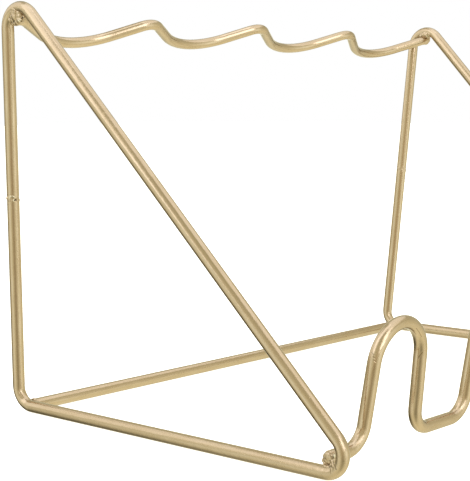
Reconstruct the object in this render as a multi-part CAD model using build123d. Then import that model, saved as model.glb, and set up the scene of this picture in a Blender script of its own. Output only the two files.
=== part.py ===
from build123d import *
import os
from math import asin, cos, hypot, radians, sin, tan

# Photo album stand: five bent round wires, welded together.  All sizes are in millimetres.
# The stand is laid out with the front corners of its side frames at Y = 0 and the axes of the wires
# that lie on the table at Z = 0.  Every piece is moved at the end, so that the origin is the middle of
# the footprint on the table, with +Z up and -Y towards the person who looks at the album.

# --- driving dimensions -----------------------------------------------------------------------

wire_diameter = 5.1          # 5 mm wire with its coating
wave_wire_diameter = 4.5     # the top rail is of thinner wire

# side frames, measured between the sharp corners of the wire's centre line
frame_spacing = 265.0        # between the two table wires
frame_depth = 182.0          # front corner to rear corner
frame_height = 175.0         # table wire to top corner
rear_leg_lean = 12.0         # the top corner stands this far in front of the rear corner
frame_splay = 11.0           # and this far outside the table wire
top_bend_radius = 8.5
rear_bend_radius = 7.5
front_bend_radius = 7.5

# wavy top rail, in a plane that tips forward about the long axis
wave_count = 4
wave_period = 70.2
wave_height = 23.2           # between the sharp corners of the zigzag under the curve
wave_crest_radius = 8.6
wave_dip_radius = 35.0
wave_tip_angle = 59.0        # degrees forward from upright
wave_bow = 3.7               # the rail sags this much in its plane towards the side frames
wave_setback = 170.0         # Y of the wave's middle line
wave_level = 155.2           # Z of the wave's middle line
top_rail_overhang = 1.0      # past the mid-plane of each side frame

# front rail with its upright arches, in a plane that leans forward
front_rail_setback = 17.0
front_rail_level = 5.25
front_rail_overhang = 0.3    # past the mid-plane of each side frame
arch_count = 4
arch_margin = 18.6           # table wire to the nearest leg
arch_foot_width = 32.3       # between the two legs of an arch, at the rail
arch_rise = 43.4             # rail to the top of the arch
arch_leg_taper = 3.6         # degrees that each leg leans inward
arch_foot_radius = 9.0
arch_lean = 8.1              # degrees forward from upright

rear_rail_inset = 6.5        # straight rear rail, in front of the rear corner

# weld metal; each offset is rearward, then upward, from the rail's axis
butt_weld_gap = 1.2          # between the two ends of a side frame's wire
butt_weld_radius = 2.75
top_weld_radius = 3.3
top_weld_offset = (0.8, 2.0)
top_weld_inboard = 0.3       # from the mid-plane of the side frame
front_weld_radius = 2.9
front_weld_offset = (-2.6, -1.9)
rear_weld_radius = 3.2
weld_floor_clearance = 0.2

# --- derived dimensions -----------------------------------------------------------------------

wire_radius = wire_diameter / 2
wave_wire_radius = wave_wire_diameter / 2
half_spacing = frame_spacing / 2
slant_height = hypot(frame_height, frame_splay)
splay_angle = asin(frame_splay / slant_height)
top_corner_y = frame_depth - rear_leg_lean


# --- helpers ----------------------------------------------------------------------------------

def bent_wire(points, bend_radii, section_radius):
    """Round wire of straight runs joined by tangent bends."""
    path = FilletPolyline(*points, radius=bend_radii)
    section = Plane(origin=path @ 0, z_dir=path % 0) * Circle(section_radius)
    return sweep(section, path=path)


def frame_point(side, y, slant):
    """Point in the mid-plane of a side frame, which tips outward: side is -1 left, +1 right."""
    return Vector(side * (half_spacing + slant * sin(splay_angle)), y, slant * cos(splay_angle))


# --- side frames ------------------------------------------------------------------------------

def side_frame(side):
    """Triangle of wire with its two ends facing each other halfway up the rear leg."""
    front = frame_point(side, 0, 0)
    rear = frame_point(side, frame_depth, 0)
    top = frame_point(side, top_corner_y, slant_height)
    upward = (top - rear).normalized()
    middle = (top + rear) / 2
    lower_end = middle - upward * butt_weld_gap / 2
    upper_end = middle + upward * butt_weld_gap / 2
    bends = [rear_bend_radius, front_bend_radius, top_bend_radius]
    return bent_wire([lower_end, rear, front, top, upper_end], bends, wire_radius)


def butt_weld(side):
    """Disc of fused metal that closes a side frame's wire."""
    rear = frame_point(side, frame_depth, 0)
    top = frame_point(side, top_corner_y, slant_height)
    seat = Plane(origin=(top + rear) / 2, z_dir=top - rear)
    return seat * Cylinder(butt_weld_radius, butt_weld_gap)


# --- rails ------------------------------------------------------------------------------------

def wave_point(x, offset):
    """Point in the top rail's plane: offset is measured along the wave's height."""
    tip = radians(wave_tip_angle)
    return Vector(x, wave_setback - offset * sin(tip), wave_level + offset * cos(tip))


def wave_offset(x, side_of_line):
    """Corner of the zigzag: side_of_line is +1 at a crest and -1 in a dip."""
    return side_of_line * wave_height / 2 - wave_bow * (x / half_spacing) ** 2


def top_wave_rail():
    """Rail of four rounded dips between narrow crests, with a short straight tail at each end."""
    points = []
    radii = []
    for corner in range(-wave_count, wave_count + 1):
        is_crest = (corner + wave_count) % 2 == 0
        x = corner * wave_period / 2
        points.append(wave_point(x, wave_offset(x, 1 if is_crest else -1)))
        radii.append(wave_crest_radius if is_crest else wave_dip_radius)
    tail = half_spacing + frame_splay * points[0].Z / frame_height + top_rail_overhang
    points.insert(0, Vector(-tail, points[0].Y, points[0].Z))
    points.append(Vector(tail, points[0].Y, points[0].Z))
    return bent_wire(points, radii, wave_wire_radius)


def arch_plane_point(x, rise):
    """Point in the plane of the arches, which leans forward from the front rail."""
    lean = radians(arch_lean)
    return Vector(x, front_rail_setback - rise * sin(lean), front_rail_level + rise * cos(lean))


def front_arch_rail():
    """Front rail that rises into four arches, each a U turned upside down with tapered legs."""
    taper = radians(arch_leg_taper)
    half_foot = arch_foot_width / 2
    crown_radius = (half_foot * cos(taper) - arch_rise * sin(taper)) / (1 - sin(taper))
    legs_meet = half_foot / tan(taper)
    end = half_spacing + frame_splay * front_rail_level / frame_height + front_rail_overhang
    first_centre = -half_spacing + arch_margin + half_foot
    pitch = -2 * first_centre / (arch_count - 1)
    points = [arch_plane_point(-end, 0)]
    radii = []
    for arch in range(arch_count):
        centre = first_centre + arch * pitch
        points.append(arch_plane_point(centre - half_foot, 0))
        points.append(arch_plane_point(centre, legs_meet))
        points.append(arch_plane_point(centre + half_foot, 0))
        radii += [arch_foot_radius, crown_radius, arch_foot_radius]
    points.append(arch_plane_point(end, 0))
    return bent_wire(points, radii, wire_radius)


def rear_base_rail():
    """Straight wire between the two table wires, just in front of the rear corners."""
    length = frame_spacing - wire_diameter
    place = Pos(0, frame_depth - rear_rail_inset, 0) * Rot(0, 90, 0)
    return place * Cylinder(wire_radius, length)


# --- weld beads -------------------------------------------------------------------------------

def weld_bead(centre, radius, cutters):
    """Ball of weld metal around a joint, less the wires that it joins."""
    bead = Pos(*centre) * Sphere(radius)
    for cutter in cutters:
        bead = bead - cutter
    return bead.solids().sort_by(SortBy.VOLUME)[-1]


def top_weld(side, frame, rail):
    """Under the top bend, over the end of the top rail."""
    crest = wave_count * wave_period / 2
    seat = wave_point(0, wave_offset(crest, 1))
    rearward, upward = top_weld_offset
    centre = frame_point(side, seat.Y + rearward, seat.Z + upward) - Vector(side * top_weld_inboard, 0, 0)
    return weld_bead(centre, top_weld_radius, [frame, rail])


def front_weld(side, frame, rail):
    """In the crook of the front bend, in front of the front rail's end."""
    seat = arch_plane_point(0, 0)
    rearward, upward = front_weld_offset
    return weld_bead(frame_point(side, seat.Y + rearward, seat.Z + upward), front_weld_radius, [frame, rail])


def rear_weld(side, frame, rail):
    """Around the end of the rear rail, ground off just above the table."""
    centre = Vector(side * (half_spacing - wire_radius), frame_depth - rear_rail_inset, 0)
    slab = Box(2 * rear_weld_radius, 2 * rear_weld_radius, rear_weld_radius)
    ground_off = Pos(centre.X, centre.Y, weld_floor_clearance - wire_radius - rear_weld_radius / 2) * slab
    return weld_bead(centre, rear_weld_radius, [frame, rail, ground_off])


# --- assembly ---------------------------------------------------------------------------------

pieces = {
    "top_wave_rail": top_wave_rail(),
    "front_arch_rail": front_arch_rail(),
    "rear_base_rail": rear_base_rail(),
}

for name, side in (("left", -1), ("right", 1)):
    frame = side_frame(side)
    pieces[f"{name}_side_frame"] = frame
    pieces[f"{name}_butt_weld"] = butt_weld(side)
    pieces[f"{name}_top_weld"] = top_weld(side, frame, pieces["top_wave_rail"])
    pieces[f"{name}_front_weld"] = front_weld(side, frame, pieces["front_arch_rail"])
    pieces[f"{name}_rear_weld"] = rear_weld(side, frame, pieces["rear_base_rail"])

footprint = pieces["left_side_frame"].bounding_box()
to_origin = Pos(0, -footprint.center().Y, wire_radius)

os.makedirs("parts", exist_ok=True)
for name, piece in pieces.items():
    export_step(to_origin * piece, f"parts/{name}.step")
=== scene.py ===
import random
from math import asin, cos, hypot, pi, radians, sin, tan

import bpy
from mathutils import Matrix, Vector


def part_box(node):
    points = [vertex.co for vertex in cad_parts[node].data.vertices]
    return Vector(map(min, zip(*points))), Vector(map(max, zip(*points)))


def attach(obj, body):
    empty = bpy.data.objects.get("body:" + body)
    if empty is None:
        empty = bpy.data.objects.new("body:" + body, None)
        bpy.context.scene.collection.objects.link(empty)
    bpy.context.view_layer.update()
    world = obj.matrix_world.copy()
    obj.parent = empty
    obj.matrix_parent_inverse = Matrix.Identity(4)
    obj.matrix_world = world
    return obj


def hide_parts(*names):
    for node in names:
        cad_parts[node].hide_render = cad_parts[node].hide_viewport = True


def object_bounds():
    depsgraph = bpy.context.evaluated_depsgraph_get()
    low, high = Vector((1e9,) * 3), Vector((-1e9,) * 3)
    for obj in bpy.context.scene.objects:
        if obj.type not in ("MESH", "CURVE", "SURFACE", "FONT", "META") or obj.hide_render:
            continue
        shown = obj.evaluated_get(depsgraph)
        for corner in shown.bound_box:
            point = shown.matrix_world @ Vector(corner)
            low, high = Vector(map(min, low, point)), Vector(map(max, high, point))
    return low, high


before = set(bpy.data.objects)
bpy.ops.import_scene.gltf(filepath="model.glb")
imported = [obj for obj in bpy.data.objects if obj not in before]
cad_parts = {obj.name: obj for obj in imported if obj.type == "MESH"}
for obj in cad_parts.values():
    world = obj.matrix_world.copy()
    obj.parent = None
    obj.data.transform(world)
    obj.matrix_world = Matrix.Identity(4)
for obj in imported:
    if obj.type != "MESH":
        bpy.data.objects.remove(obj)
cad_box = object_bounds()

# Photo album stand of bent and welded wire, finished in satin champagne gold.
# Sizes are in metres, unless a comment says millimetres.  The stand's front looks towards -Y, and
# its wires follow the same routes as the solids of the frame.

MM = 0.001

# --- the stand's sizes ------------------------------------------------------------------------

WIRE_RADIUS = 2.55 * MM
WAVE_WIRE_RADIUS = 2.25 * MM

# side frames, measured along the axis of their wire
FRAME_SPACING = 265.0 * MM
FRAME_DEPTH = 182.0 * MM
FRAME_HEIGHT = 175.0 * MM
REAR_LEG_LEAN = 12.0 * MM
FRAME_SPLAY = 11.0 * MM
TOP_BEND_RADIUS = 8.5 * MM
REAR_BEND_RADIUS = 7.5 * MM
FRONT_BEND_RADIUS = 7.5 * MM
BUTT_WELD_GAP = 1.2 * MM

# wavy top rail
WAVE_COUNT = 4
WAVE_PERIOD = 70.2 * MM
WAVE_HEIGHT = 23.2 * MM
WAVE_CREST_RADIUS = 8.6 * MM
WAVE_DIP_RADIUS = 35.0 * MM
WAVE_TIP = radians(59.0)
WAVE_BOW = 3.7 * MM
WAVE_SETBACK = 170.0 * MM
WAVE_LEVEL = 155.2 * MM
TOP_RAIL_OVERHANG = 1.0 * MM

# front rail with its arches
FRONT_RAIL_SETBACK = 17.0 * MM
FRONT_RAIL_LEVEL = 5.25 * MM
FRONT_RAIL_OVERHANG = -1.0 * MM     # it ends inside the weld metal that rounds it off
ARCH_COUNT = 4
ARCH_MARGIN = 18.6 * MM
ARCH_FOOT_WIDTH = 32.3 * MM
ARCH_RISE = 43.4 * MM
ARCH_TAPER = radians(3.6)
ARCH_FOOT_RADIUS = 9.0 * MM
ARCH_LEAN = radians(8.1)

REAR_RAIL_INSET = 6.5 * MM

HALF_SPACING = FRAME_SPACING / 2
SLANT_HEIGHT = hypot(FRAME_HEIGHT, FRAME_SPLAY)
SPLAY_ANGLE = asin(FRAME_SPLAY / SLANT_HEIGHT)
TOP_CORNER_Y = FRAME_DEPTH - REAR_LEG_LEAN

# the sizes above are laid out from the front corners of the side frames, at the level of the axes
# of the table wires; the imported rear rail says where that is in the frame
rear_low, rear_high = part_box("rear_base_rail")
LAYOUT = Vector((0, (rear_low.y + rear_high.y) / 2 - FRAME_DEPTH + REAR_RAIL_INSET,
                 (rear_low.z + rear_high.z) / 2))

# --- how the wire is drawn --------------------------------------------------------------------

WIRE_SIDES = 32
WIRE_STEP = 0.6 * MM
ARC_SEGMENTS = 24
TURN_REACH = 3                      # steps to each side over which the turn of a bend is taken
END_ROUNDING = 0.35 * MM
END_ROUNDING_SEGMENTS = 3
END_EDGE_ANGLE = radians(60)


# --- node building ----------------------------------------------------------------------------

class TreeMaker:
    """A node tree under construction."""

    def __init__(self, tree):
        self.tree = tree

    def add(self, kind, values=None, **settings):
        """Adds a node with these settings, and gives its inputs their values."""
        node = self.tree.nodes.new(kind)
        for key, value in settings.items():
            setattr(node, key, value)
        for key, value in (values or {}).items():
            self.put(node.inputs[key], value)
        return node

    def put(self, socket, value):
        """Links an output to the socket, or sets a plain value on it."""
        if isinstance(value, bpy.types.NodeSocket):
            self.tree.links.new(value, socket)
        else:
            socket.default_value = value

    def math(self, operation, *values):
        return self.add("ShaderNodeMath", dict(enumerate(values)), operation=operation).outputs[0]

    def product(self, first, *rest):
        for value in rest:
            first = self.math("MULTIPLY", first, value)
        return first

    def vector(self, x, y, z):
        return self.add("ShaderNodeCombineXYZ", {0: x, 1: y, 2: z}).outputs[0]

    def vector_math(self, operation, *values):
        places = (0, "Scale") if operation == "SCALE" else (0, 1)
        node = self.add("ShaderNodeVectorMath", dict(zip(places, values)), operation=operation)
        return node.outputs["Value" if operation in ("DOT_PRODUCT", "LENGTH") else "Vector"]

    def blend(self, factor, first, second, mode="MIX"):
        """Mixes two colours."""
        node = self.add("ShaderNodeMix", {0: factor, 6: first, 7: second},
                        data_type="RGBA", blend_type=mode)
        return node.outputs[2]


class ShapeTree(TreeMaker):
    """A geometry node tree under construction, with named inputs for its sizes."""

    SOCKETS = {int: "NodeSocketInt", float: "NodeSocketFloat", Vector: "NodeSocketVector",
               type(None): "NodeSocketGeometry"}

    def __init__(self, name, **inputs):
        super().__init__(bpy.data.node_groups.new(name, "GeometryNodeTree"))
        new_socket = self.tree.interface.new_socket
        new_socket("Geometry", in_out="OUTPUT", socket_type="NodeSocketGeometry")
        for label, value in inputs.items():
            socket = new_socket(label, in_out="INPUT", socket_type=self.SOCKETS[type(value)])
            if value is not None:
                socket.default_value = value
        self.entry = self.tree.nodes.new("NodeGroupInput")

    def __getitem__(self, label):
        return self.entry.outputs[label]

    def index(self):
        return self.add("GeometryNodeInputIndex").outputs[0]

    def position(self):
        return self.add("GeometryNodeInputPosition").outputs[0]

    def is_equal(self, first, second):
        """1 where two whole numbers are the same, and 0 elsewhere."""
        return self.math("COMPARE", first, second, 0.5)

    def between(self, start, end, share):
        """The start value where the share is 0, and the end value where it is 1."""
        return self.math("ADD", start, self.product(share, self.math("SUBTRACT", end, start)))

    def moved(self, geometry, offset):
        values = {"Geometry": geometry, "Offset": offset}
        return self.add("GeometryNodeSetPosition", values).outputs[0]

    def store(self, geometry, name, value):
        kind = "FLOAT_VECTOR" if value.type == "VECTOR" else "FLOAT"
        values = {"Geometry": geometry, "Name": name, "Value": value}
        return self.add("GeometryNodeStoreNamedAttribute", values,
                        data_type=kind, domain="POINT").outputs[0]

    def read(self, name, kind="FLOAT_VECTOR"):
        return self.add("GeometryNodeInputNamedAttribute", {"Name": name}, data_type=kind).outputs[0]

    def group(self, tree, **values):
        return self.add("GeometryNodeGroup", values, node_tree=tree).outputs[0]

    def finish(self, geometry):
        self.add("NodeGroupOutput", {0: geometry})
        return self.tree

    def finish_piece(self, geometry, material):
        real = self.add("GeometryNodeRealizeInstances", {"Geometry": geometry}).outputs[0]
        values = {"Geometry": real, "Material": material}
        return self.finish(self.add("GeometryNodeSetMaterial", values).outputs[0])


def new_object(name, data):
    thing = bpy.data.objects.new(name, data)
    bpy.context.scene.collection.objects.link(thing)
    return thing


def plain_mesh(thing):
    """The object's mesh with its modifiers worked into it."""
    depsgraph = bpy.context.evaluated_depsgraph_get()
    return bpy.data.meshes.new_from_object(thing.evaluated_get(depsgraph), depsgraph=depsgraph,
                                           preserve_all_data_layers=True)


def build_piece(name, tree, source=None, **values):
    """Runs a node tree on a source mesh and keeps the result as a plain mesh object."""
    maker = new_object(name + "_maker", source or bpy.data.meshes.new(name + "_maker"))
    modifier = maker.modifiers.new("tree", "NODES")
    modifier.node_group = tree
    sockets = {s.name: s.identifier for s in tree.interface.items_tree if s.in_out == "INPUT"}
    for label, value in values.items():
        modifier[sockets[label]] = value
    mesh = plain_mesh(maker)
    bpy.data.objects.remove(maker)
    mesh.name = name
    return new_object(name, mesh)


def point_mesh(name, points, chain, **attributes):
    """Mesh of loose points, or of one chain of edges, that carries a number for each point."""
    mesh = bpy.data.meshes.new(name)
    edges = [(i, i + 1) for i in range(len(points) - 1)] if chain else []
    mesh.from_pydata(points, edges, [])
    for label, numbers in attributes.items():
        mesh.attributes.new(label, "FLOAT", "POINT").data.foreach_set("value", numbers)
    return mesh


# --- materials --------------------------------------------------------------------------------

class FinishTree(TreeMaker):
    """The node tree of a material under construction, around its Principled shader."""

    NOISE_MIDDLE = (0.3, 0.7)       # most of a noise value lies between these two

    def __init__(self, name):
        self.material = bpy.data.materials.new(name)
        self.material.use_nodes = True
        super().__init__(self.material.node_tree)
        self.shader = self.tree.nodes["Principled BSDF"].inputs
        self.place = self.add("ShaderNodeTexCoord").outputs["Object"]

    def read(self, name, output="Fac"):
        return self.add("ShaderNodeAttribute", attribute_name=name).outputs[output]

    def noise(self, place, grain, detail=2.0, roughness=0.5):
        """Smooth random value from 0 to 1 whose patches are about one grain across."""
        values = {"Vector": place, "Scale": 1 / grain, "Detail": detail, "Roughness": roughness}
        return self.add("ShaderNodeTexNoise", values).outputs["Fac"]

    def ramp(self, value, start, end, low=0.0, high=1.0):
        """Low up to the start value, high from the end value on, and even between them."""
        values = {"Value": value, "From Min": start, "From Max": end, "To Min": low, "To Max": high}
        return self.add("ShaderNodeMapRange", values).outputs["Result"]

    def spread(self, value, low, high):
        """The middle of a noise value stretched to run from low to high."""
        return self.ramp(value, *self.NOISE_MIDDLE, low, high)

    def bump(self, height, depth, normal=None):
        """Relief that stands up by the depth where the height is 1, on top of the normal's own."""
        values = {"Height": height, "Distance": depth, "Strength": 1.0}
        if normal is not None:
            values["Normal"] = normal
        return self.add("ShaderNodeBump", values).outputs["Normal"]

    def finish(self, colour, rough, normal):
        for label, value in (("Base Color", colour), ("Roughness", rough), ("Normal", normal)):
            self.put(self.shader[label], value)
        return self.material


GOLD = (0.618, 0.490, 0.352, 1)
GOLD_PALE = (0.680, 0.560, 0.425, 1)
GOLD_DEEP = (0.520, 0.388, 0.215, 1)
# near-white for bare metal on spatter, partly a painted highlight
BARE_METAL_AND_SHEEN = (0.960, 0.910, 0.780, 1)
GOLD_BURNT = (0.330, 0.235, 0.125, 1)
# near-black for soot and painted shade in the weld's pits
PIT_SOOT_AND_SHADE = (0.050, 0.038, 0.022, 1)

# what is the same all over: metal that reflects less at a glancing angle, under a clear coat
COATED_METAL = {"Metallic": 1.0, "Specular Tint": (0.3, 0.3, 0.3, 1), "Coat Weight": 1.0,
                "Coat Roughness": 0.14, "Coat IOR": 1.75}

# grain is about how wide a patch of a pattern is, stretch how much longer it is along the wire,
# and relief how far it stands up
DRIFT_GRAIN = 14 * MM
DRIFT_SHARE = 0.55                  # most that the slow drift takes the colour to the pale gold
STREAK_SHARE = 0.5                  # and the streaks take it to the deep one
FLAKE_GRAIN = 0.28 * MM
FLAKE_RELIEF = 0.003 * MM
FLAKE_SHADES = (0.93, 1.07)
FLAKE_ROUGHNESS = 0.03

STREAK_GRAIN, STREAK_STRETCH = 1.1 * MM, 9.0
WIRE_ROUGHNESS = (0.17, 0.27)
PEEL_GRAIN, PEEL_STRETCH, PEEL_RELIEF = 1.3 * MM, 1.6, 0.055 * MM
DRAWN_GRAIN, DRAWN_STRETCH, DRAWN_RELIEF = 0.35 * MM, 25.0, 0.005 * MM

SCUFFED_TURN = (0.16, 0.40)         # from a bend too wide to be scuffed to one that is tight enough
SCUFF_GRAIN, SCUFF_RELIEF = 0.5 * MM, 0.09 * MM
SCUFF_PATCH_GRAIN = 4.0 * MM
SCUFF_PATCHES = (0.45, 0.60)
SCUFF_ROUGHNESS = 0.05
NICK_FLOOR = 0.3                    # width of a nick's floor, as a share of the nick's
NICK_RELIEF = -0.10 * MM
NICK_DARKENING = 0.8

RIPPLE_GRAIN, RIPPLE_RELIEF = 0.9 * MM, 0.025 * MM
WELD_ROUGHNESS = (0.24, 0.40)
BURN_GRAIN, BURN_RELIEF = 1.3 * MM, 0.02 * MM
BURN_PATCHES = (0.37, 0.29)
BURN_SHARE = 0.6
SHINE_NEARNESS = (0.25, 0.45)
SHINE_SHARE = 0.8
SHINE_POLISH = 0.12
PIT_SHADE_NEARNESS = (0.20, 0.50)


def coat_of_gold(tree, streaks, roughness):
    """Champagne gold with slow colour drift, streaks and a fine metal flake, under a clear coat.

    Gives the colour, the roughness and the flake.
    """
    for label, value in COATED_METAL.items():
        tree.shader[label].default_value = value
    drift = tree.noise(tree.place, DRIFT_GRAIN, detail=2)
    flake = tree.noise(tree.place, FLAKE_GRAIN, detail=3, roughness=0.6)
    colour = tree.blend(tree.spread(drift, 0.0, DRIFT_SHARE), GOLD, GOLD_PALE)
    colour = tree.blend(tree.spread(streaks, 0.0, STREAK_SHARE), colour, GOLD_DEEP)
    shade = tree.spread(flake, *FLAKE_SHADES)
    grey = tree.add("ShaderNodeCombineColor", {0: shade, 1: shade, 2: shade}).outputs[0]
    colour = tree.blend(1.0, colour, grey, mode="MULTIPLY")
    rough = tree.math("ADD", tree.spread(streaks, *roughness),
                      tree.spread(flake, -FLAKE_ROUGHNESS, FLAKE_ROUGHNESS))
    return colour, rough, flake


# nicks that the bending tools have left: both ends in the frame, and half the width, in millimetres
TOOL_NICKS = (
    (Vector((-85.8, -83.8, 36.0)), Vector((-85.3, -85.1, 38.2)), 0.38),
    (Vector((-113.9, -84.1, 40.8)), Vector((-113.7, -84.8, 40.1)), 0.26),
    (Vector((-114.0, -84.4, 39.6)), Vector((-113.6, -85.1, 38.9)), 0.28),
    (Vector((-113.6, -83.3, 42.0)), Vector((-113.7, -84.3, 41.3)), 0.22),
    (Vector((-134.4, 83.6, 8.4)), Vector((-133.9, 82.3, 6.3)), 0.36),
    (Vector((-91.7, -86.9, 47.9)), Vector((-89.6, -86.6, 46.4)), 0.24),
    (Vector((-89.6, -86.6, 46.4)), Vector((-87.6, -86.3, 44.4)), 0.24),
    (Vector((-135.1, -84.0, 6.5)), Vector((-135.2, -84.4, 5.4)), 0.32),
)


def tool_nicks(tree):
    """1 in the short nicks on the wire, and 0 away from them."""
    deepest = None
    for start, end, reach in TOOL_NICKS:
        line = (end - start).normalized()
        away = tree.vector_math("SUBTRACT", tree.place, start * MM)
        along = tree.math("MAXIMUM", tree.vector_math("DOT_PRODUCT", away, line), 0.0)
        along = tree.math("MINIMUM", along, (end - start).length * MM)
        off = tree.vector_math("SUBTRACT", away, tree.vector_math("SCALE", line, along))
        depth = tree.ramp(tree.vector_math("LENGTH", off), reach * MM, reach * MM * NICK_FLOOR)
        deepest = depth if deepest is None else tree.math("MAXIMUM", deepest, depth)
    return deepest


def wire_gold():
    """Coated wire: streaks follow the wire, over a faint orange peel and drawn lines.

    The bends are scuffed and nicked by the tools that made them.
    """
    tree = FinishTree("champagne_gold_wire")
    across = tree.add("ShaderNodeSeparateXYZ", {0: tree.read("section", "Vector")}).outputs
    along = tree.read("along")

    def pattern(grain, stretch, **texture):
        place = tree.vector(across[0], across[1], tree.math("DIVIDE", along, stretch))
        return tree.noise(place, grain, **texture)

    streaks = pattern(STREAK_GRAIN, STREAK_STRETCH, detail=3, roughness=0.6)
    colour, rough, flake = coat_of_gold(tree, streaks, WIRE_ROUGHNESS)
    normal = tree.bump(pattern(PEEL_GRAIN, PEEL_STRETCH, detail=1), PEEL_RELIEF)
    normal = tree.bump(pattern(DRAWN_GRAIN, DRAWN_STRETCH, detail=1), DRAWN_RELIEF, normal)
    normal = tree.bump(flake, FLAKE_RELIEF, normal)

    bent = tree.ramp(tree.vector_math("LENGTH", tree.read("turn", "Vector")), *SCUFFED_TURN)
    patches = tree.ramp(tree.noise(tree.place, SCUFF_PATCH_GRAIN, detail=1), *SCUFF_PATCHES)
    scuffed = tree.math("MULTIPLY", bent, patches)
    scuffs = tree.noise(tree.place, SCUFF_GRAIN, detail=3, roughness=0.65)
    normal = tree.bump(tree.math("MULTIPLY", scuffs, scuffed), SCUFF_RELIEF, normal)
    rough = tree.math("ADD", rough, tree.math("MULTIPLY", scuffed, SCUFF_ROUGHNESS))
    nick = tool_nicks(tree)
    normal = tree.bump(nick, NICK_RELIEF, normal)
    # the nicks are darkened towards the burnt gold
    colour = tree.blend(tree.math("MULTIPLY", nick, NICK_DARKENING), colour, GOLD_BURNT)
    return tree.finish(colour, rough, normal)


def weld_gold():
    """Coating over weld metal: rippled, burnt darker in patches, paler on spatter (partly a painted
    highlight), with soot and painted shade in pits.
    """
    tree = FinishTree("champagne_gold_weld")
    ripple = tree.noise(tree.place, RIPPLE_GRAIN, detail=3, roughness=0.55)
    colour, rough, flake = coat_of_gold(tree, ripple, WELD_ROUGHNESS)
    burn = tree.noise(tree.place, BURN_GRAIN, detail=2, roughness=0.6)
    colour = tree.blend(tree.ramp(burn, *BURN_PATCHES, 0.0, BURN_SHARE), colour, GOLD_BURNT)
    # paler, smoother metal round the spatter, partly a painted highlight
    shine = tree.ramp(tree.read("shine"), *SHINE_NEARNESS, 0.0, SHINE_SHARE)
    colour = tree.blend(shine, colour, BARE_METAL_AND_SHEEN)
    rough = tree.math("SUBTRACT", rough, tree.math("MULTIPLY", shine, SHINE_POLISH))
    # painted shade: the pits go near-black, soot and shade together, and lose their clear coat
    soot_and_shade = tree.ramp(tree.read("pit_nearness"), *PIT_SHADE_NEARNESS)
    colour = tree.blend(soot_and_shade, colour, PIT_SOOT_AND_SHADE)
    tree.put(tree.shader["Coat Weight"], tree.math("SUBTRACT", 1.0, soot_and_shade))
    normal = tree.bump(ripple, RIPPLE_RELIEF)
    normal = tree.bump(burn, BURN_RELIEF, normal)
    normal = tree.bump(flake, FLAKE_RELIEF, normal)
    return tree.finish(colour, rough, normal)


WIRE_GOLD = wire_gold()
WELD_GOLD = weld_gold()


# --- bent wire --------------------------------------------------------------------------------

def bent_wire_group():
    """Sweeps a round wire along a route whose corners carry their bend radius.

    Tight bends are squeezed a little across the bend and wrinkled on their inner side.
    """
    t = ShapeTree("bent_wire", Route=None, Wire_Radius=WIRE_RADIUS, Step=WIRE_STEP, Sides=WIRE_SIDES,
                  Arc_Segments=ARC_SEGMENTS, Squeeze=0.25, Wrinkle_Depth=0.06,
                  Wrinkle_Spacing=1.6 * MM, Seed=1.0)
    bends = {"Curve": t["Route"], "Radius": t.read("bend_radius", "FLOAT"), "Count": t["Arc_Segments"]}
    bent = t.add("GeometryNodeFilletCurve", bends, mode="POLY").outputs[0]
    steps = {"Curve": bent, "Length": t["Step"]}
    even = t.add("GeometryNodeResampleCurve", steps, mode="LENGTH").outputs[0]

    index = t.index()
    tangent = t.add("GeometryNodeInputTangent").outputs[0]

    def tangent_at(away):
        place = {"Index": t.math("ADD", index, float(away)), "Value": tangent}
        return t.add("GeometryNodeFieldAtIndex", place, data_type="FLOAT_VECTOR").outputs[0]

    turn = t.vector_math("SUBTRACT", tangent_at(TURN_REACH), tangent_at(-TURN_REACH))
    route = t.store(even, "along", t.add("GeometryNodeSplineParameter").outputs["Length"])
    route = t.store(route, "centre", t.position())
    route = t.store(route, "turn", turn)
    circle = {"Resolution": t["Sides"], "Radius": t["Wire_Radius"]}
    ring = t.add("GeometryNodeCurvePrimitiveCircle", circle).outputs[0]
    section = t.store(ring, "section", t.position())
    sweep = {"Curve": route, "Profile Curve": section, "Fill Caps": True}
    tube = t.add("GeometryNodeCurveToMesh", sweep).outputs[0]

    outward = t.vector_math("SUBTRACT", t.position(), t.read("centre"))
    inward_of_bend = t.vector_math("DOT_PRODUCT", outward, t.read("turn"))
    squeeze = t.vector_math("SCALE", t.read("turn"), t.product(inward_of_bend, t["Squeeze"], -1.0))
    place = t.math("DIVIDE", t.read("along", "FLOAT"), t["Wrinkle_Spacing"])
    wrinkles = {"W": t.math("ADD", place, t["Seed"]), "Scale": 1.0, "Detail": 1.0}
    ripple = t.add("ShaderNodeTexNoise", wrinkles, noise_dimensions="1D").outputs[0]
    inner_side = t.math("DIVIDE", t.math("MAXIMUM", inward_of_bend, 0.0), t["Wire_Radius"])
    wrinkle = t.vector_math("SCALE", outward, t.product(inner_side, ripple, t["Wrinkle_Depth"], -1.0))
    return t.finish(t.moved(tube, t.vector_math("ADD", squeeze, wrinkle)))


BENT_WIRE = bent_wire_group()


def route_wire_tree():
    """Wire along a chain of points that carry their bend radius."""
    t = ShapeTree("route_wire", Chain=None, Seed=1.0)
    route = t.add("GeometryNodeMeshToCurve", {"Mesh": t["Chain"]}).outputs[0]
    return t.finish_piece(t.group(BENT_WIRE, Route=route, Seed=t["Seed"]), WIRE_GOLD)


def leaning_route(t, count, x, rise, lean, bend_radius):
    """Route in a plane that leans forward through the tree's Middle.

    Its corners have their places and bend radii worked out from their index.
    """
    forward = t.product(rise, t.math("SINE", lean), -1.0)
    in_plane = t.vector(x, forward, t.product(rise, t.math("COSINE", lean)))
    corners = {"Count": count, "Position": t.vector_math("ADD", in_plane, t["Middle"])}
    points = t.add("GeometryNodePoints", corners).outputs[0]
    points = t.store(points, "bend_radius", bend_radius)
    return t.add("GeometryNodePointsToCurves", {"Points": points}).outputs[0]


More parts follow.
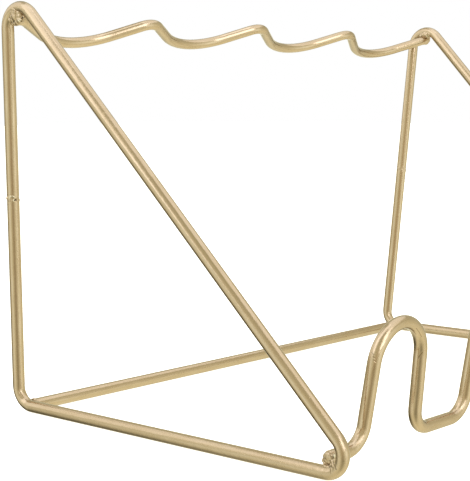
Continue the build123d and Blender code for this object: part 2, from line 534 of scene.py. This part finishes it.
def wave_rail_tree():
    """Top rail: rounded dips between narrow crests, with a tail at each end."""
    t = ShapeTree("wave_rail", Wave_Count=WAVE_COUNT, Period=WAVE_PERIOD, Height=WAVE_HEIGHT,
                  Bow=WAVE_BOW, Crest_Radius=WAVE_CREST_RADIUS, Dip_Radius=WAVE_DIP_RADIUS,
                  Tip=WAVE_TIP, Half_Spacing=HALF_SPACING, Tail_Reach=HALF_SPACING,
                  Middle=Vector((0, WAVE_SETBACK, WAVE_LEVEL)) + LAYOUT, Seed=1.0)
    waves = t["Wave_Count"]
    last_corner = t.math("MULTIPLY", waves, 2.0)
    corner = t.math("SUBTRACT", t.math("SUBTRACT", t.index(), 1.0), waves)
    held = t.math("MAXIMUM", t.math("MINIMUM", corner, waves), t.product(waves, -1.0))
    is_dip = t.math("MODULO", t.math("ADD", held, last_corner), 2.0)
    corner_x = t.product(held, t["Period"], 0.5)
    is_tail = t.math("SUBTRACT", t.math("ABSOLUTE", corner), t.math("ABSOLUTE", held))
    x = t.between(corner_x, t.product(t.math("SIGN", corner), t["Tail_Reach"]), is_tail)
    reach = t.math("DIVIDE", corner_x, t["Half_Spacing"])
    bowed = t.product(t.math("POWER", reach, 2.0), t["Bow"])
    rise = t.math("SUBTRACT", t.product(t.math("SUBTRACT", 0.5, is_dip), t["Height"]), bowed)
    radius = t.between(t["Crest_Radius"], t["Dip_Radius"], is_dip)
    route = leaning_route(t, t.math("ADD", last_corner, 3.0), x, rise, t["Tip"], radius)
    wire = t.group(BENT_WIRE, Route=route, Wire_Radius=WAVE_WIRE_RADIUS, Seed=t["Seed"])
    return t.finish_piece(wire, WIRE_GOLD)


def arch_rail_tree():
    """Front rail: a straight wire that rises into equal arches, each a U turned upside down.

    Each arch has three corners: a foot, the point high above it where its legs would meet, and
    the other foot.
    """
    t = ShapeTree("arch_rail", Arch_Count=ARCH_COUNT, Half_Foot=ARCH_FOOT_WIDTH / 2,
                  First_Centre=0.0, Pitch=0.0, Legs_Meet=0.0, Crown_Radius=0.0,
                  Foot_Radius=ARCH_FOOT_RADIUS, Lean=ARCH_LEAN, End_Reach=HALF_SPACING,
                  Middle=Vector((0, FRONT_RAIL_SETBACK, FRONT_RAIL_LEVEL)) + LAYOUT, Seed=1.0)
    index = t.index()
    corner = t.math("SUBTRACT", index, 1.0)
    arch = t.math("FLOOR", t.math("DIVIDE", corner, 3.0))
    part = t.math("SUBTRACT", corner, t.product(arch, 3.0))
    centre = t.math("ADD", t["First_Centre"], t.product(arch, t["Pitch"]))
    arch_x = t.math("ADD", centre, t.product(t.math("SUBTRACT", part, 1.0), t["Half_Foot"]))
    last = t.math("ADD", t.product(t["Arch_Count"], 3.0), 1.0)
    is_first = t.is_equal(index, 0.0)
    is_last = t.is_equal(index, last)
    is_end = t.math("ADD", is_first, is_last)
    end_x = t.product(t.math("SUBTRACT", is_last, is_first), t["End_Reach"])
    x = t.between(arch_x, end_x, is_end)
    is_crown = t.product(t.is_equal(part, 1.0), t.math("SUBTRACT", 1.0, is_end))
    rise = t.product(is_crown, t["Legs_Meet"])
    radius = t.between(t["Foot_Radius"], t["Crown_Radius"], is_crown)
    route = leaning_route(t, t.math("ADD", last, 1.0), x, rise, t["Lean"], radius)
    return t.finish_piece(t.group(BENT_WIRE, Route=route, Seed=t["Seed"]), WIRE_GOLD)


def keep_piece(piece, node):
    """Shades the piece smooth and hands it to the frame in place of a solid."""
    piece.data.shade_smooth()
    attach(piece, "root")
    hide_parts(node)


def finish_wire(piece, node):
    """Rounds the cut ends of a wire and keeps it."""
    bevel = piece.modifiers.new("end_rounding", "BEVEL")
    bevel.width = END_ROUNDING
    bevel.segments = END_ROUNDING_SEGMENTS
    bevel.limit_method = "ANGLE"
    bevel.angle_limit = END_EDGE_ANGLE
    rounded = plain_mesh(piece)
    piece.modifiers.clear()
    piece.data = rounded
    keep_piece(piece, node)


def half_width(level):
    """From the stand's middle to a side frame's mid-plane, at a level above the table wires' axes."""
    return HALF_SPACING + FRAME_SPLAY * level / FRAME_HEIGHT


def frame_point(side, y, slant):
    """Point in the mid-plane of a side frame, which tips outward: side is -1 left, +1 right."""
    x = side * (HALF_SPACING + slant * sin(SPLAY_ANGLE))
    return LAYOUT + Vector((x, y, slant * cos(SPLAY_ANGLE)))


route_wire = route_wire_tree()

# a side frame is one wire from the middle of its rear leg round to the middle again
for name, side, seed in (("left", -1, 3.0), ("right", 1, 11.0)):
    front = frame_point(side, 0, 0)
    rear = frame_point(side, FRAME_DEPTH, 0)
    top = frame_point(side, TOP_CORNER_Y, SLANT_HEIGHT)
    half_gap = (top - rear).normalized() * BUTT_WELD_GAP / 2
    middle = (top + rear) / 2
    corners = [middle - half_gap, rear, front, top, middle + half_gap]
    radii = [0, REAR_BEND_RADIUS, FRONT_BEND_RADIUS, TOP_BEND_RADIUS, 0]
    chain = point_mesh(name + "_route", corners, True, bend_radius=radii)
    wire = build_piece(name + "_frame_wire", route_wire, chain, Seed=seed)
    finish_wire(wire, name + "_side_frame")

# rise and reach of the top rail's ends, which lie at the height of a crest less the bow
wave_rise = -WAVE_BOW * (WAVE_COUNT * WAVE_PERIOD / 2 / HALF_SPACING) ** 2 + WAVE_HEIGHT / 2
wave_tail = half_width(WAVE_LEVEL + wave_rise * cos(WAVE_TIP)) + TOP_RAIL_OVERHANG
wavy_wire = build_piece("wavy_top_wire", wave_rail_tree(), Tail_Reach=wave_tail, Seed=23.0)
finish_wire(wavy_wire, "top_wave_rail")

half_foot = ARCH_FOOT_WIDTH / 2
first_arch = -HALF_SPACING + ARCH_MARGIN + half_foot
crown_radius = (half_foot * cos(ARCH_TAPER) - ARCH_RISE * sin(ARCH_TAPER)) / (1 - sin(ARCH_TAPER))
arched_wire = build_piece("arched_front_wire", arch_rail_tree(), First_Centre=first_arch,
                          Pitch=-2 * first_arch / (ARCH_COUNT - 1),
                          Legs_Meet=half_foot / tan(ARCH_TAPER), Crown_Radius=crown_radius,
                          End_Reach=half_width(FRONT_RAIL_LEVEL) + FRONT_RAIL_OVERHANG, Seed=31.0)
finish_wire(arched_wire, "front_arch_rail")

rear_reach = HALF_SPACING - WIRE_RADIUS
rear_ends = [LAYOUT + Vector((side * rear_reach, FRAME_DEPTH - REAR_RAIL_INSET, 0)) for side in (-1, 1)]
rear_chain = point_mesh("rear_route", rear_ends, True, bend_radius=[0, 0])
finish_wire(build_piece("rear_table_wire", route_wire, rear_chain, Seed=47.0), "rear_base_rail")


# --- weld metal -------------------------------------------------------------------------------

def weld_tree():
    """Melts lumps of metal, given as points with a radius, into one rippled bead.

    Points with a negative radius are the places where gas has left a pit in it; the pit is dented in,
    and the finish paints soot and painted shade in it.  Small lumps are spatter, and make the metal
    round them shine: paler, smoother bare metal that is partly a painted highlight.
    """
    t = ShapeTree("weld_metal", Lumps=None, Grid=0.13 * MM, Smoothing=8, Ripple_Depth=0.12 * MM,
                  Ripple_Width=1.2 * MM, Pit_Radius=0.75 * MM, Pit_Depth=0.5 * MM,
                  Spatter_Radius=0.70 * MM, Shine_Radius=0.9 * MM, Crumb_Points=60.0, Seed=1.0)
    radius = t.read("lump_radius", "FLOAT")
    is_pit = t.math("LESS_THAN", radius, 0.0)
    is_lump = t.math("GREATER_THAN", radius, 0.0)
    is_spatter = t.product(is_lump, t.math("LESS_THAN", radius, t["Spatter_Radius"]))

    def chosen(selection):
        choice = {"Mesh": t["Lumps"], "Selection": selection}
        return t.add("GeometryNodeMeshToPoints", choice).outputs[0]

    blobs = {"Points": chosen(is_lump), "Density": 1.0, "Voxel Size": t["Grid"], "Radius": radius}
    melt = t.add("GeometryNodePointsToVolume", blobs, resolution_mode="VOXEL_SIZE").outputs[0]
    surface = {"Volume": melt, "Voxel Size": t["Grid"], "Threshold": 0.5}
    skin = t.add("GeometryNodeVolumeToMesh", surface, resolution_mode="VOXEL_SIZE").outputs[0]

    # crumbs that have not melted into the bead are thrown away
    island = t.add("GeometryNodeInputMeshIsland").outputs["Island Index"]
    counted = {"Value": 1.0, "Group ID": island}
    island_points = t.add("GeometryNodeAccumulateField", counted).outputs["Total"]
    is_crumb = t.math("LESS_THAN", island_points, t["Crumb_Points"])
    crumbs = {"Geometry": skin, "Selection": is_crumb}
    skin = t.add("GeometryNodeDeleteGeometry", crumbs).outputs[0]

    blur = {"Value": t.position(), "Iterations": t["Smoothing"]}
    smooth = t.add("GeometryNodeBlurAttribute", blur, data_type="FLOAT_VECTOR").outputs[0]
    flowed = {"Geometry": skin, "Position": smooth}
    skin = t.add("GeometryNodeSetPosition", flowed).outputs[0]

    # nearness to the pits carries their dent and their painted shade and soot, nearness to spatter its
    # paler metal and painted highlight
    for name, selection, reach in (("pit_nearness", is_pit, t["Pit_Radius"]),
                                   ("shine", is_spatter, t["Shine_Radius"])):
        sample = {"Geometry": chosen(selection), "Sample Position": t.position()}
        near = t.add("GeometryNodeProximity", sample, target_element="POINTS").outputs
        nearness = t.math("SUBTRACT", 1.0, t.math("DIVIDE", near["Distance"], reach))
        nearness = t.product(t.math("MAXIMUM", nearness, 0.0), near["Is Valid"])
        skin = t.store(skin, name, nearness)
    ripples = {"Vector": t.position(), "W": t["Seed"], "Detail": 2.0,
               "Scale": t.math("DIVIDE", 1.0, t["Ripple_Width"])}
    ripple = t.add("ShaderNodeTexNoise", ripples, noise_dimensions="4D").outputs[0]
    height = t.product(t.math("SUBTRACT", ripple, 0.5), t["Ripple_Depth"])
    height = t.math("SUBTRACT", height, t.product(t.read("pit_nearness", "FLOAT"), t["Pit_Depth"]))
    swell = t.vector_math("SCALE", t.add("GeometryNodeInputNormal").outputs[0], height)
    return t.finish_piece(t.moved(skin, swell), WELD_GOLD)


def joint_frame(side, seat):
    """Axes at a joint, in millimetres: rearward, upward along the side frame, and outward from it."""
    outward = Vector((side * cos(SPLAY_ANGLE), 0, -sin(SPLAY_ANGLE)))
    upward = Vector((side * sin(SPLAY_ANGLE), 0, cos(SPLAY_ANGLE)))
    origin = LAYOUT + Vector((side * half_width(seat.z), seat.y, seat.z))
    return lambda rear, up, out: origin + (Vector((0, rear, 0)) + upward * up + outward * out) * MM


LUMP_SHIFT = 0.08                   # most that a lump is shifted, as a share of its radius
LUMP_GROWTH = (0.92, 1.03)

weld = weld_tree()


def weld_piece(name, node, place, lumps, seed):
    """Scatters the lumps a little and melts them into the bead that stands for a weld node."""
    chance = random.Random(seed)
    points, sizes = [], []
    for rear, up, out, radius in lumps:
        shift = [chance.uniform(-LUMP_SHIFT, LUMP_SHIFT) * radius for axis in range(3)]
        points.append(place(rear + shift[0], up + shift[1], out + shift[2]))
        sizes.append(radius * chance.uniform(*LUMP_GROWTH) * MM)
    source = point_mesh(name + "_lumps", points, False, lump_radius=sizes)
    piece = build_piece(name, weld, source, Seed=float(seed))
    piece.data.materials.clear()
    piece.data.materials.append(WELD_GOLD)
    piece.data.polygons.foreach_set("material_index", [0] * len(piece.data.polygons))
    keep_piece(piece, node)


# lumps are (rearward, upward, outward, radius) from the joint, in millimetres
PIT = -1                            # in place of a radius; a pit is dented in and painted near-black, soot and painted shade


def arc_lumps(start, end, count, reach, out, radius, rear=0.0, up=0.0):
    """Lumps on an arc round a point: angle 0 is rearward and 90 is up."""
    for i in range(count):
        angle = radians(start + (end - start) * i / (count - 1))
        yield rear + reach * cos(angle), up + reach * sin(angle), out, radius


TOP_WELD = [
    # metal over the rail's end and the bend, outboard
    (0.6, 1.3, 0.50, 2.30), (3.4, -1.3, 0.40, 1.20), (4.2, 0.2, 0.90, 1.35), (4.6, 1.9, 1.05, 1.25),
    # metal drawn up from the rail on to the bend, inboard
    (-3.9, 3.5, -1.30, 1.35), (-2.3, 3.4, -1.40, 1.60), (-0.6, 3.6, -1.40, 1.65),
    (1.1, 3.3, -1.30, 1.50), (2.5, 2.2, -1.10, 1.25),
    (-2.6, 2.1, -1.30, 1.20), (-0.8, 2.3, -1.60, 1.35), (1.0, 2.3, -1.50, 1.20),
    (-1.7, 2.8, -2.00, 1.30), (0.1, 2.8, -2.00, 1.30), (1.6, 2.4, -1.70, 1.20),
]
LAST_PUDDLE = (1.0, 3.3, 1.30, 1.55)
LEFT_TOP_WELD = [
    *TOP_WELD, *arc_lumps(0, 324, 10, 2.35, 0.75, 1.60, 0.6, 1.3),
    # the last puddle, rippled round its middle
    LAST_PUDDLE, *arc_lumps(0, 320, 9, 1.15, 2.05, 0.80, 0.8, 3.2),
    # spatter in front of it, with gaps round it
    (-3.0, -0.1, 1.35, 1.00), (-3.9, 0.8, 0.90, 0.90), (-3.2, 0.0, 2.15, 0.68),
    (-2.4, -0.4, 2.30, 0.60), (-3.9, 0.8, 1.60, PIT), (-3.5, -0.9, 1.90, PIT),
    # gas pit
    (1.6, -0.6, 2.20, PIT),
]
RIGHT_TOP_WELD = [
    *TOP_WELD, *arc_lumps(0, 324, 10, 1.75, 1.00, 1.55, 0.6, 1.3), LAST_PUDDLE,
    # a bead of spatter and a gas pit, inboard
    (-2.7, 2.2, -2.50, 0.50), (-4.3, 2.4, -1.80, PIT),
]
FRONT_WELD = [
    # the rounded end of the rail
    (0.0, 0.1, -1.20, 1.75), *arc_lumps(20, 330, 8, 1.15, -0.90, 1.30, 0.0, -0.1),
    (-1.9, 1.2, -0.30, 0.75), (-2.0, -0.6, -0.10, 0.85),
    # fillet between it and the inner side of the bend, with a puddle on the wire
    (-2.9, -0.5, 0.60, 1.05), (-3.0, 0.8, 0.30, 0.95), (-2.7, -1.8, 0.80, 1.15),
    (-1.8, -2.8, 0.70, 1.00), (-3.7, -1.5, 1.20, 1.05), (-4.3, -2.0, 1.55, 1.10),
    (-3.4, -3.0, 1.30, 1.30), (-3.2, 1.9, 0.00, 0.75), (-0.5, -3.0, 0.50, 0.85),
    (0.8, -3.0, 0.30, 0.80), (-3.5, -3.9, 1.45, 1.30), (-4.6, -3.2, 1.45, 1.20),
    (-5.4, -2.2, 1.50, 1.05), (-4.9, -0.9, 1.50, 1.00), (-4.5, 2.2, 1.70, 0.42),
    (-4.5, 0.4, 1.20, 1.15), (-4.6, 1.6, 1.05, 1.05), (-4.8, 2.8, 0.90, 0.95),
    (-4.5, 3.8, 0.60, 0.75), (-3.7, 1.2, 0.50, 0.95),
    # gas pits, and a bead of spatter
    (-1.9, -2.2, 1.30, PIT), (-5.0, -1.1, 2.50, PIT), (-4.2, -2.1, 2.70, PIT),
    (-2.2, -3.4, 1.50, PIT), (-3.8, 1.9, 1.20, 0.60),
    # metal under the rail
    *arc_lumps(-175, -30, 10, 3.0, -1.5, 1.05), *arc_lumps(-160, -60, 7, 3.5, -0.4, 0.90),
]
# metal behind, over and in front of the rail, where it meets the side frame
REAR_WELD = [
    *arc_lumps(-25, 35, 5, 2.35, -2.7, 0.85), *arc_lumps(50, 130, 6, 1.95, -2.9, 0.76),
    *arc_lumps(145, 205, 5, 2.35, -2.7, 0.85),
]
# ring of metal that was pressed out where the two ends of a side frame's wire were butted together
RING_LUMPS, RING_REACH, RING_LUMP_RADIUS = 14, 1.62, 1.08
BUTT_WELD = []
for level in (-0.9, 0.0, 0.9):
    for i in range(RING_LUMPS):
        around = 2 * pi * i / RING_LUMPS
        lump = (RING_REACH * cos(around), level, RING_REACH * sin(around), RING_LUMP_RADIUS)
        BUTT_WELD.append(lump)
# the left one has thrown a bead of spatter beside a gas pit, and its last puddle is rippled
LEFT_BUTT_WELD = [*BUTT_WELD, (0.6, 0.3, 2.15, 0.92), (-2.3, -0.6, 1.50, 0.45),
                  (-2.6, -0.6, 0.85, PIT)]
for i in range(7):
    ripple = radians(15 + 25 * i)
    around = radians(132 + 24 * cos(ripple))
    LEFT_BUTT_WELD.append((2.15 * cos(around), 0.2 + 0.9 * sin(ripple), 2.15 * sin(around), 0.66))

TOP_SEAT = Vector((0, WAVE_SETBACK - wave_rise * sin(WAVE_TIP), WAVE_LEVEL + wave_rise * cos(WAVE_TIP)))
FRONT_SEAT = Vector((0, FRONT_RAIL_SETBACK, FRONT_RAIL_LEVEL))
REAR_SEAT = Vector((0, FRAME_DEPTH - REAR_RAIL_INSET, 0))
BUTT_SEAT = Vector((0, FRAME_DEPTH - REAR_LEG_LEAN / 2, FRAME_HEIGHT / 2))
WELDS = (
    # bead, node, middle of the joint, and the lumps and seeds of the left one and the right one
    ("_top_bead", "_top_weld", TOP_SEAT, (LEFT_TOP_WELD, RIGHT_TOP_WELD), (5, 8)),
    ("_front_bead", "_front_weld", FRONT_SEAT, (FRONT_WELD, FRONT_WELD), (25, 28)),
    ("_rear_bead", "_rear_weld", REAR_SEAT, (REAR_WELD, REAR_WELD), (45, 48)),
    ("_upset_ring", "_butt_weld", BUTT_SEAT, (LEFT_BUTT_WELD, BUTT_WELD), (65, 68)),
)

for which, (name, side) in enumerate((("left", -1), ("right", 1))):
    for bead, node, seat, lumps, seeds in WELDS:
        weld_piece(name + bead, name + node, joint_frame(side, seat), lumps[which], seeds[which])


# --- camera and table -------------------------------------------------------------------------

CAMERA_PLACE = Vector((-0.48440, -0.35377, 0.12846))
CAMERA_RIGHT = Vector((0.66834, -0.74382, -0.00749))
CAMERA_UP = Vector((0.08135, 0.06308, 0.99469))
CAMERA_LENS = 100.19                # lens and sensor in millimetres
CAMERA_SENSOR = 36

camera = new_object("camera", bpy.data.cameras.new("camera"))
camera.data.lens = CAMERA_LENS
camera.data.sensor_width = CAMERA_SENSOR
camera.data.clip_start = 10 * MM
axes = Matrix((CAMERA_RIGHT, CAMERA_UP, CAMERA_RIGHT.cross(CAMERA_UP))).transposed()
camera.matrix_world = Matrix.Translation(CAMERA_PLACE) @ axes.to_4x4()
bpy.context.scene.camera = camera

TABLE_REACH = 6.0
TABLE_PAINT = {"Base Color": (0.85, 0.85, 0.85, 1), "Roughness": 0.8,
               "Emission Color": (1, 1, 1, 1), "Emission Strength": 1.0}

# the table is white all over, and gives the stand neither light nor a reflection
table_mesh = bpy.data.meshes.new("table_top")
table_corners = [(x * TABLE_REACH, y * TABLE_REACH, 0) for x, y in ((-1, -1), (1, -1), (1, 1), (-1, 1))]
table_mesh.from_pydata(table_corners, [], [(0, 1, 2, 3)])
table_top = new_object("table_top", table_mesh)
table_white = bpy.data.materials.new("table_white")
table_white.use_nodes = True
for label, value in TABLE_PAINT.items():
    table_white.node_tree.nodes["Principled BSDF"].inputs[label].default_value = value
table_mesh.materials.append(table_white)
table_top.visible_glossy = False
table_top.visible_diffuse = False


# --- light ------------------------------------------------------------------------------------

# the room is a soft light that is brighter or darker in some directions; azimuth 0 is straight in
# front of the stand (-Y) and 90 to its right (+X)
ROOM_LIGHT = 0.82
ROOM_LIGHT_BELOW = 0.30
ROOM_COLOUR = (1.0, 0.93, 0.63)
ROOM_GLOWS = (
    # azimuth, elevation, tightness, light in red, green and blue
    (140, -22, 4.5, (0.45, 0.42, 0.30)),
    (179, -32, 7.3, (-1.15, -1.07, -0.74)),
    (-45, -41, 6.8, (-0.65, -0.60, -0.42)),
    (-112, -6, 14, (0.19, 0.26, 0.33)),
    (16, -6, 14, (0.40, 0.46, 0.50)),
    (-48, -6, 20, (-0.11, -0.17, -0.14)),
)
BACKDROP_WHITE = (1, 1, 1, 1)
SOFTBOX_COLOUR = (1.0, 0.985, 1.04)
SOFTBOX_DISTANCE = 1.3
SOFTBOXES = (
    # name, azimuth, elevation, width, height, strength
    ("left_softbox", -109, 53, 0.8, 2.2, 0.87),
    ("right_softbox", -14.5, 25, 0.64, 1.0, 1.62),
    ("rear_softbox", 65, 66, 2.2, 1.2, 0.61),
    ("left_rear_softbox", -158, 31, 1.15, 1.25, 0.50),
)


def direction(azimuth, elevation):
    a, e = radians(azimuth), radians(elevation)
    return Vector((sin(a) * cos(e), -cos(a) * cos(e), sin(e)))


def studio_room():
    """Soft room light from all round for the stand, plain white where the camera looks past it."""
    world = bpy.data.worlds.new("studio_room")
    world.use_nodes = True
    room = TreeMaker(world.node_tree)
    way = room.add("ShaderNodeTexCoord").outputs["Generated"]
    height = room.add("ShaderNodeSeparateXYZ", {0: way}).outputs["Z"]
    even = room.math("ADD", room.math("MULTIPLY", height, -ROOM_LIGHT_BELOW), ROOM_LIGHT)
    light = room.vector_math("SCALE", ROOM_COLOUR, even)
    for azimuth, elevation, tightness, colour in ROOM_GLOWS:
        facing = room.vector_math("DOT_PRODUCT", way, direction(azimuth, elevation))
        off = room.math("SUBTRACT", facing, 1.0)
        falloff = room.math("EXPONENT", room.math("MULTIPLY", off, tightness))
        light = room.vector_math("ADD", light, room.vector_math("SCALE", colour, falloff))
    light = room.vector_math("MAXIMUM", light, (0, 0, 0))
    seen = room.add("ShaderNodeLightPath").outputs["Is Camera Ray"]
    background = room.tree.nodes["Background"].inputs["Color"]
    room.put(background, room.blend(seen, light, BACKDROP_WHITE))
    return world


bpy.context.scene.world = studio_room()
stand_middle = Vector((0, 0, (cad_box[0].z + cad_box[1].z) / 2))
for name, azimuth, elevation, width, height, strength in SOFTBOXES:
    lamp = bpy.data.lights.new(name, "AREA")
    lamp.shape = "RECTANGLE"
    lamp.size, lamp.size_y = width, height
    lamp.energy = strength * pi * width * height
    lamp.color = SOFTBOX_COLOUR
    softbox = new_object(name, lamp)
    softbox.location = stand_middle + direction(azimuth, elevation) * SOFTBOX_DISTANCE
    softbox.rotation_euler = direction(azimuth, elevation).to_track_quat("Z", "Y").to_euler()
    softbox.visible_camera = False

bpy.context.scene.view_settings.view_transform = "Standard"
